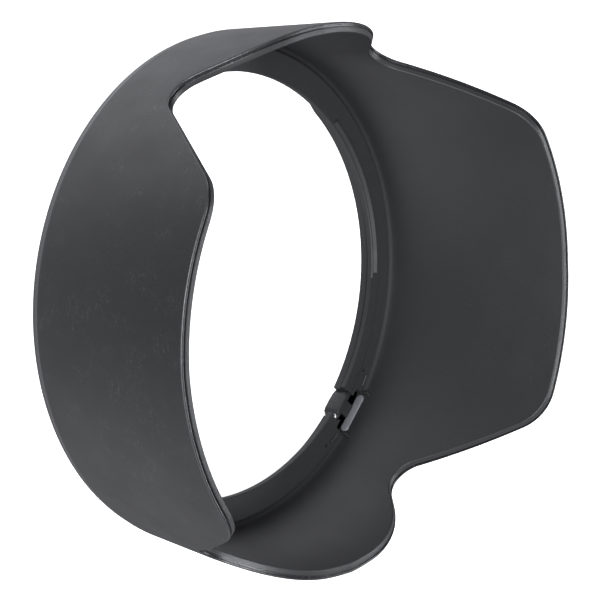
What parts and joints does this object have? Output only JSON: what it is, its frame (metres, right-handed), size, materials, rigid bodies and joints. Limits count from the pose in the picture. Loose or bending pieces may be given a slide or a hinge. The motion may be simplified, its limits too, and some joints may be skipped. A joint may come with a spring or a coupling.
{
  "type": "petal lens hood",
  "caption": "Petal-shaped bayonet lens hood in black plastic: flared petal shell, inner mount ring with lugs, and sprung click catches that hold it on the lens.",
  "frame": {"origin": "centre of the rear rim's face, on the optical axis", "axes": "+Z along the optical axis from the lens towards the mouth, +X through the middle of a large petal, +Y through the middle of a small petal"},
  "size_m": [0.0974, 0.0954, 0.0421],
  "materials": {
    "shell_plastic": "satin moulded outside, matte inside",
    "ring_plastic": "matte moulded",
    "catch_plastic": "smooth moulded",
    "spring_steel": "rolled spring steel",
    "pin_steel": "turned steel",
    "index_paint": "filled with white paint"
  },
  "bodies": {
    "hood": {"petal_shell": "shell_plastic", "bayonet_ring": "ring_plastic", "leaf_spring_right": "spring_steel", "leaf_spring_left": "spring_steel", "stop_pin_right": "pin_steel", "stop_pin_left": "pin_steel", "index_mark": "index_paint"},
    "right_catch": {"catch_right": "catch_plastic"},
    "left_catch": {"catch_left": "catch_plastic"}
  },
  "joints": [
    {"name": "catch_right_slide", "type": "slide", "parent": "hood", "child": "right_catch", "axis": [0.7071, -0.7071, 0], "range_m": [0, 0.0005], "stiffness_N_per_m": 2000, "springref_m": -0.0004, "deforming": ["leaf_spring_right"]},
    {"name": "catch_left_slide", "type": "slide", "parent": "hood", "child": "left_catch", "axis": [-0.7071, 0.7071, 0], "range_m": [0, 0.0005], "stiffness_N_per_m": 2000, "springref_m": -0.0004, "deforming": ["leaf_spring_left"]}
  ]
}
